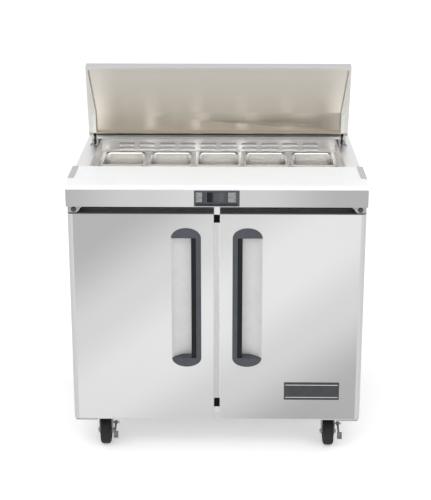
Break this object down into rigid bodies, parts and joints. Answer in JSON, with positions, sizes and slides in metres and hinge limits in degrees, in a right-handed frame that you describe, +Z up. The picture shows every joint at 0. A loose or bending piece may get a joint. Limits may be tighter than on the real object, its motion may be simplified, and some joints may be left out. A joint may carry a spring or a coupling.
{
  "type": "refrigerated sandwich prep table",
  "caption": "Two-door refrigerated sandwich prep table with a hinged lid over sunken pans, a cutting board, pocket handles and locking casters.",
  "frame": {"origin": "on the floor under the centre of the table", "axes": "+Z up, -Y towards the person working at the board, +X to that person's right"},
  "size_m": [0.9288, 0.76, 1.1962],
  "materials": {
    "steel": "brushed stainless steel, satin",
    "steel_light": "brushed stainless steel, light",
    "lid_liner": "brushed stainless liner, warm reflections",
    "bracket": "pale grey coated sheet steel",
    "liner": "satin aluminium cabinet liner",
    "foam": "sealed polyurethane foam",
    "board": "white polyethylene, fine satin texture",
    "slate_plastic": "slate grey moulded plastic",
    "cap_plastic": "dark grey moulded end caps",
    "black_plastic": "black moulded plastic",
    "display": "dark glossy display window",
    "key": "pale grey soft keys",
    "gasket": "black magnetic door gasket",
    "white_plastic": "white vacuum-formed door liner",
    "wire": "coated wire",
    "zinc": "zinc plated steel",
    "tyre": "black caster wheel",
    "pedal": "grey ribbed brake pedal",
    "black_metal": "black enamel",
    "fins": "finned aluminium coil"
  },
  "bodies": {
    "cabinet": {"cabinet_shell": "steel", "cabinet_foam": "foam", "cabinet_liner": "liner", "mullion": "steel_light", "mullion_blocks": "black_plastic", "top_deck": "steel_light", "pan_well": "steel", "pan_bars": "steel", "louver_panel": "steel", "rear_hood": "steel", "board_clips": "bracket", "control_bezel": "slate_plastic", "control_display": "display", "pans_rear": "steel", "lid_pivots": "zinc", "door_hinges": "bracket", "shelves": "wire", "shelf_supports": "steel_light", "evaporator": "fins", "compressor": "black_metal", "condenser": "fins", "machine_grille": "steel", "caster_plates": "zinc"},
    "board": {"cutting_board": "board"},
    "lid": {"lid_skin": "steel", "lid_liner": "lid_liner", "lid_gasket": "gasket", "lid_arms": "bracket"},
    "left_door": {"door_left_skin": "steel", "door_left_liner": "white_plastic", "door_left_gasket": "gasket", "door_left_handle": "slate_plastic", "door_left_caps": "cap_plastic"},
    "right_door": {"door_right_skin": "steel", "door_right_liner": "white_plastic", "door_right_gasket": "gasket", "door_right_handle": "slate_plastic", "door_right_caps": "cap_plastic", "name_plate": "slate_plastic"},
    "cold_fan": {"evaporator_fan": "black_plastic"},
    "hot_fan": {"condenser_fan": "slate_plastic"},
    "front_pan_1": {"pan_front_1": "steel"},
    "front_pan_2": {"pan_front_2": "steel"},
    "front_pan_3": {"pan_front_3": "steel"},
    "front_pan_4": {"pan_front_4": "steel"},
    "front_pan_5": {"pan_front_5": "steel"},
    "key_up": {"button_up": "key"},
    "key_down": {"button_down": "key"},
    "key_set": {"button_set": "key"},
    "key_light": {"button_light": "key"},
    "fork_1": {"caster_fork_1": "zinc"},
    "wheel_1": {"caster_wheel_1": "tyre"},
    "fork_2": {"caster_fork_2": "zinc"},
    "wheel_2": {"caster_wheel_2": "tyre"},
    "fork_3": {"caster_fork_3": "zinc"},
    "wheel_3": {"caster_wheel_3": "tyre"},
    "fork_4": {"caster_fork_4": "zinc"},
    "wheel_4": {"caster_wheel_4": "tyre"},
    "pedal_1": {"brake_pedal_1": "pedal"},
    "pedal_2": {"brake_pedal_2": "pedal"}
  },
  "joints": [
    {"name": "left_door_hinge", "type": "hinge", "parent": "cabinet", "child": "left_door", "pos_m": [-0.445, -0.353, 0.472], "axis": [0, 0, -1], "range_deg": [0, 115]},
    {"name": "right_door_hinge", "type": "hinge", "parent": "cabinet", "child": "right_door", "pos_m": [0.445, -0.353, 0.472], "axis": [0, 0, 1], "range_deg": [0, 115]},
    {"name": "lid_hinge", "type": "hinge", "parent": "cabinet", "child": "lid", "pos_m": [0, 0.142, 0.911], "axis": [-1, 0, 0], "range_deg": [-77, 0]},
    {"name": "board_slide", "type": "slide", "parent": "cabinet", "child": "board", "axis": [0, -1, 0], "range_m": [0, 0.13]},
    {"name": "cold_fan_spin", "type": "hinge", "parent": "cabinet", "child": "cold_fan", "pos_m": [0, 0.265, 0.61], "axis": [0, 1, 0], "continuous": true},
    {"name": "hot_fan_spin", "type": "hinge", "parent": "cabinet", "child": "hot_fan", "pos_m": [0.18, 0.28, 0.2362], "axis": [0, 1, 0], "continuous": true},
    {"name": "front_pan_1_lift", "type": "slide", "parent": "cabinet", "child": "front_pan_1", "axis": [0, 0, 1], "range_m": [0, 0.17]},
    {"name": "front_pan_2_lift", "type": "slide", "parent": "cabinet", "child": "front_pan_2", "axis": [0, 0, 1], "range_m": [0, 0.17]},
    {"name": "front_pan_3_lift", "type": "slide", "parent": "cabinet", "child": "front_pan_3", "axis": [0, 0, 1], "range_m": [0, 0.17]},
    {"name": "front_pan_4_lift", "type": "slide", "parent": "cabinet", "child": "front_pan_4", "axis": [0, 0, 1], "range_m": [0, 0.17]},
    {"name": "front_pan_5_lift", "type": "slide", "parent": "cabinet", "child": "front_pan_5", "axis": [0, 0, 1], "range_m": [0, 0.17]},
    {"name": "key_up_press", "type": "slide", "parent": "cabinet", "child": "key_up", "axis": [0, 1, 0], "range_m": [0, 0.0012], "stiffness_N_per_m": 400},
    {"name": "key_down_press", "type": "slide", "parent": "cabinet", "child": "key_down", "axis": [0, 1, 0], "range_m": [0, 0.0012], "stiffness_N_per_m": 400},
    {"name": "key_set_press", "type": "slide", "parent": "cabinet", "child": "key_set", "axis": [0, 1, 0], "range_m": [0, 0.0012], "stiffness_N_per_m": 400},
    {"name": "key_light_press", "type": "slide", "parent": "cabinet", "child": "key_light", "axis": [0, 1, 0], "range_m": [0, 0.0012], "stiffness_N_per_m": 400},
    {"name": "swivel_1", "type": "hinge", "parent": "cabinet", "child": "fork_1", "pos_m": [-0.365, -0.27, 0.1], "axis": [0, 0, 1], "continuous": true},
    {"name": "wheel_1_spin", "type": "hinge", "parent": "fork_1", "child": "wheel_1", "pos_m": [-0.365, -0.298, 0.045], "axis": [1, 0, 0], "continuous": true},
    {"name": "swivel_2", "type": "hinge", "parent": "cabinet", "child": "fork_2", "pos_m": [0.365, -0.27, 0.1], "axis": [0, 0, 1], "continuous": true},
    {"name": "wheel_2_spin", "type": "hinge", "parent": "fork_2", "child": "wheel_2", "pos_m": [0.365, -0.298, 0.045], "axis": [1, 0, 0], "continuous": true},
    {"name": "swivel_3", "type": "hinge", "parent": "cabinet", "child": "fork_3", "pos_m": [-0.365, 0.3, 0.1], "axis": [0, 0, 1], "continuous": true},
    {"name": "wheel_3_spin", "type": "hinge", "parent": "fork_3", "child": "wheel_3", "pos_m": [-0.365, 0.272, 0.045], "axis": [1, 0, 0], "continuous": true},
    {"name": "swivel_4", "type": "hinge", "parent": "cabinet", "child": "fork_4", "pos_m": [0.365, 0.3, 0.1], "axis": [0, 0, 1], "continuous": true},
    {"name": "wheel_4_spin", "type": "hinge", "parent": "fork_4", "child": "wheel_4", "pos_m": [0.365, 0.272, 0.045], "axis": [1, 0, 0], "continuous": true},
    {"name": "pedal_1_press", "type": "hinge", "parent": "fork_1", "child": "pedal_1", "pos_m": [-0.365, -0.296, 0.071], "axis": [1, 0, 0], "range_deg": [0, 18]},
    {"name": "pedal_2_press", "type": "hinge", "parent": "fork_2", "child": "pedal_2", "pos_m": [0.365, -0.296, 0.071], "axis": [1, 0, 0], "range_deg": [0, 18]}
  ]
}
